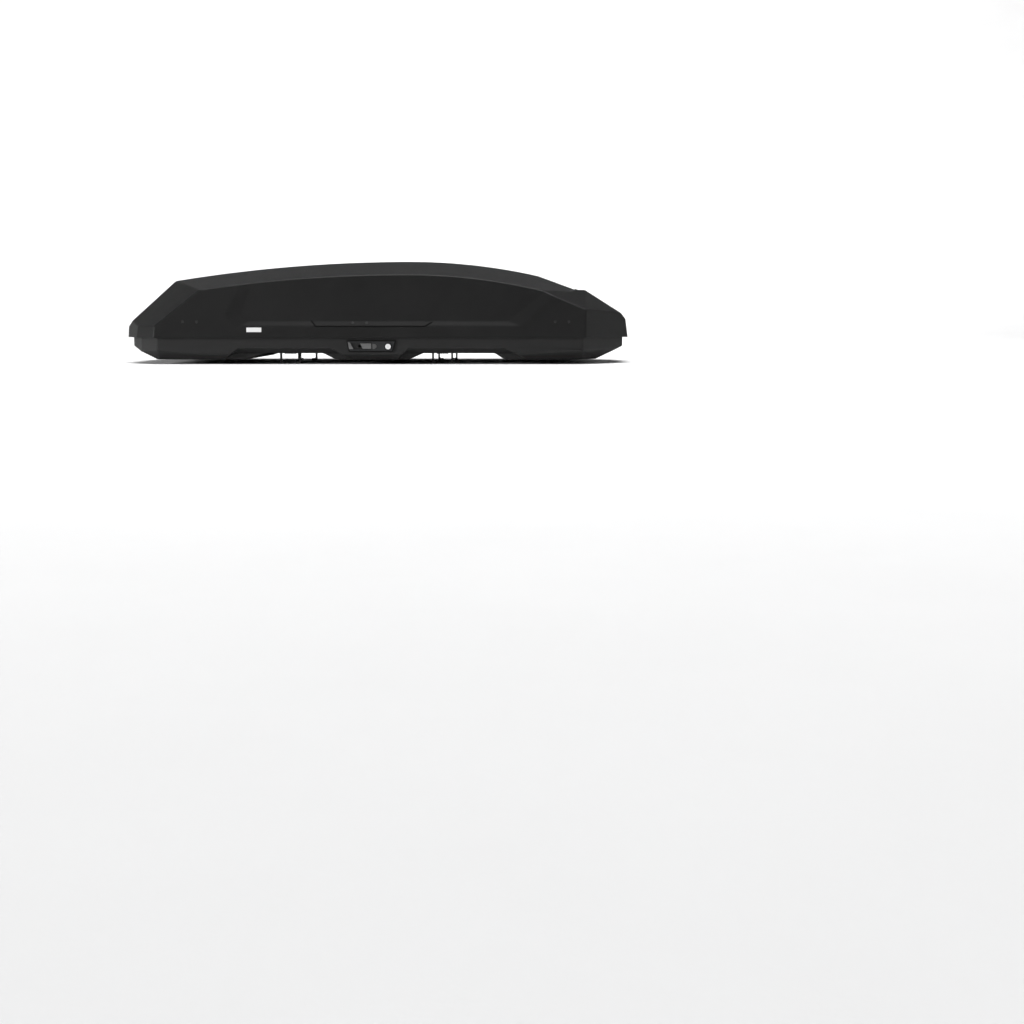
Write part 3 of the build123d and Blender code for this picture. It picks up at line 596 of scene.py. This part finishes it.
# ---------------------------------------------------------------- lifter springs
SPRING_TURNS = 5
SPRING_LENGTH = 12
SPRING_RADIUS = 7.6
SPRING_WIRE = 1.1
SPRING_OFFSET = 20
POINTS_A_TURN = 12
for end_name, lifter_x in zip(("rear", "front"), LIFTER_X):
    for side_name, side in SIDES.items():
        start = lifter_x - side * SPRING_OFFSET
        count = SPRING_TURNS * POINTS_A_TURN
        coil = []
        for step in range(count + 1):
            turn = 2 * pi * step / POINTS_A_TURN
            x = start - side * (SPRING_WIRE + (SPRING_LENGTH - 2 * SPRING_WIRE) * step / count)
            y = side * PIVOT[0] + SPRING_RADIUS * cos(turn)
            z = PIVOT[1] + SPRING_RADIUS * sin(turn)
            coil.append((x, y, z))
        spring = tube(f"{end_name}_{side_name}_spring", coil, SPRING_WIRE, smooth=True)
        finish_piece(spring, "base", FINISHES["spring_steel"], ["lifter_springs"])


# ---------------------------------------------------------------- lock trim
# Outlines are given as (x, z)
SURROUND = ((-127, 108), (97, 108), (82, 56), (-116, 56))
SURROUND_OPENING = ((-122, 103), (92, 103), (78, 61), (-112, 61))
WEDGE = ((-120, 99), (-112, 99), (-95, 69), (-115, 69))
LENS_MIDDLE = (-9, 81)
LENS_SIZE = (19, 12)
RING_R = 16.5
RING_BORE_R = 13
RING_SIDES = 23
HOUSING_Y = 452  # the housing's outer face


def plate(name, outline, side, low, high):
    """A flat plate on the base's side: an outline between two distances from the middle."""
    corners = [(x, 0, z) for x, z in outline]
    return prism(name, corners, (0, side * low, 0), (0, side * (high - low), 0))


def arc_outline(middle, radius_x, radius_z, start, end, count=16):
    """Points of an ellipse's arc, between two angles in degrees."""
    turns = [radians(start + (end - start) * step / count) for step in range(count + 1)]
    return [(middle[0] + radius_x * cos(t), middle[1] + radius_z * sin(t)) for t in turns]


for side_name, side in SIDES.items():
    surround = plate("surround", SURROUND, side, BASE_HALF_W - 0.5, HOUSING_Y + 1.8)
    opening = plate("opening", SURROUND_OPENING, side, 440, 460)
    combine(surround, "DIFFERENCE", opening)
    surround.name = f"{side_name}_lock_surround"
    finish_piece(ease_edges(surround, 0.6), "base", LOCK_BLACK)

    # A raised moulded wedge on the lock housing, coloured light grey: painted highlight, standing
    # for the light the wedge catches.
    wedge_with_painted_highlight = plate(f"{side_name}_lock_chevron", WEDGE, side, HOUSING_Y, HOUSING_Y + 2)
    finish_piece(ease_edges(wedge_with_painted_highlight, 0.6), "base", FINISHES["grey_plastic"])

    half_round = arc_outline(LENS_MIDDLE, *LENS_SIZE, -90, 90)
    lens = plate(f"{side_name}_lock_lens", half_round, side, HOUSING_Y, HOUSING_Y + 2.5)
    finish_piece(ease_edges(lens, 0.8), "base", LENS_GREY)

    outer = arc_outline((KEY_X, KEY_Z), RING_R, RING_R, 0, 345, RING_SIDES)
    inner = arc_outline((KEY_X, KEY_Z), RING_BORE_R, RING_BORE_R, 0, 345, RING_SIDES)
    ring = plate("ring", outer, side, HOUSING_Y, HOUSING_Y + 4)
    bore = plate("bore", inner, side, 450, 460)
    combine(ring, "DIFFERENCE", bore)
    ring.name = f"{side_name}_key_ring"
    finish_piece(ease_edges(ring, 0.8), "base", LOCK_BLACK)


# ---------------------------------------------------------------- finish on the CAD pieces
EDGE_WIDTH = 0.0005
EDGE_WIDTHS = {
    "badge_pale": 0.0006,
    "grey_plastic": 0.001,
    "clamp_plastic": 0.001,
    "black_rubber": 0.001,
}
for node_name, node in frame["nodes"].items():
    slot_name = node_slots[node_name]
    node.data.materials.clear()
    node.data.materials.append(FINISHES[slot_name])
    if node.hide_render:
        continue
    weld = node.modifiers.new("weld", "WELD")
    weld.merge_threshold = 0.00001
    ease_edges(node, EDGE_WIDTHS.get(slot_name, EDGE_WIDTH), 30)
    normals = node.modifiers.new("even shading", "WEIGHTED_NORMAL")
    normals.keep_sharp = True


# ---------------------------------------------------------------- stage, light and camera
def bowl(name, profile, turns=96):
    """A floor that sweeps up into a wall all round: a profile of (radius, height), in metres."""
    mesh = bmesh.new()
    rings = []
    for radius, height in profile:
        spots = [2 * pi * turn / turns for turn in range(turns)]
        rings.append([mesh.verts.new((radius * cos(t), radius * sin(t), height)) for t in spots])
    for inner, outer in zip(rings, rings[1:]):
        for turn in range(turns):
            following = (turn + 1) % turns
            mesh.faces.new((inner[turn], outer[turn], outer[following], inner[following]))
    mesh.faces.new(rings[0])
    return new_piece(name, mesh)


FLOOR_R = 9.5
CURVE_R = 3.0
WALL_TOP = 6.0
profile = [(2.5, 0), (FLOOR_R, 0)]
for angle in range(10, 91, 10):
    rise = radians(angle)
    profile.append((FLOOR_R + CURVE_R * sin(rise), CURVE_R * (1 - cos(rise))))
profile.append((FLOOR_R + CURVE_R, WALL_TOP))
stage_floor = bowl("stage_floor", profile)
stage_floor.data.polygons.foreach_set("use_smooth", [True] * len(stage_floor.data.polygons))
stage_paper = grained("stage_paper", grey(0.8), 0.9, 300, 0.0001, specular=0.0, mottle=0.01)
stage_floor.data.materials.append(stage_paper)


def area_light(name, place, aim, size, spread, power):
    """A soft square light at place, facing the point aim, with its beam spread in degrees."""
    light = bpy.data.lights.new(name, "AREA")
    light.shape = "SQUARE"
    light.size = size
    light.energy = power
    light.spread = radians(spread)
    lamp = bpy.data.objects.new(name, light)
    lamp.location = place
    lamp.rotation_euler = (Vector(aim) - Vector(place)).to_track_quat("-Z", "Y").to_euler()
    bpy.context.scene.collection.objects.link(lamp)


area_light("overhead", (0.4, -1.0, 11.0), (0, 0, 0), 9.0, 140, 1380)
area_light("rear_quarter", (-8.0, -5.5, 2.0), (0, 0, 0.3), 2.5, 50, 55)
area_light("backdrop", (0, 4.0, 8.0), (0, 12.0, 2.0), 5.0, 120, 420)

world = bpy.data.worlds.new("studio")
world.use_nodes = True
world.node_tree.nodes["Background"].inputs["Color"].default_value = (0.95, 0.96, 1.0, 1)
world.node_tree.nodes["Background"].inputs["Strength"].default_value = 0.08
bpy.context.scene.view_settings.view_transform = "Standard"
bpy.context.scene.world = world

CAMERA_PLACE = (0.620, -7.48, 0.2257)
CAMERA_DIP = 7.28  # degrees below level
camera_data = bpy.data.cameras.new("camera")
camera_data.sensor_width = 36
camera_data.lens = 54.49
camera = bpy.data.objects.new("camera", camera_data)
camera.location = CAMERA_PLACE
camera.rotation_euler = (radians(90 - CAMERA_DIP), 0, 0)
bpy.context.scene.collection.objects.link(camera)
bpy.context.scene.camera = camera
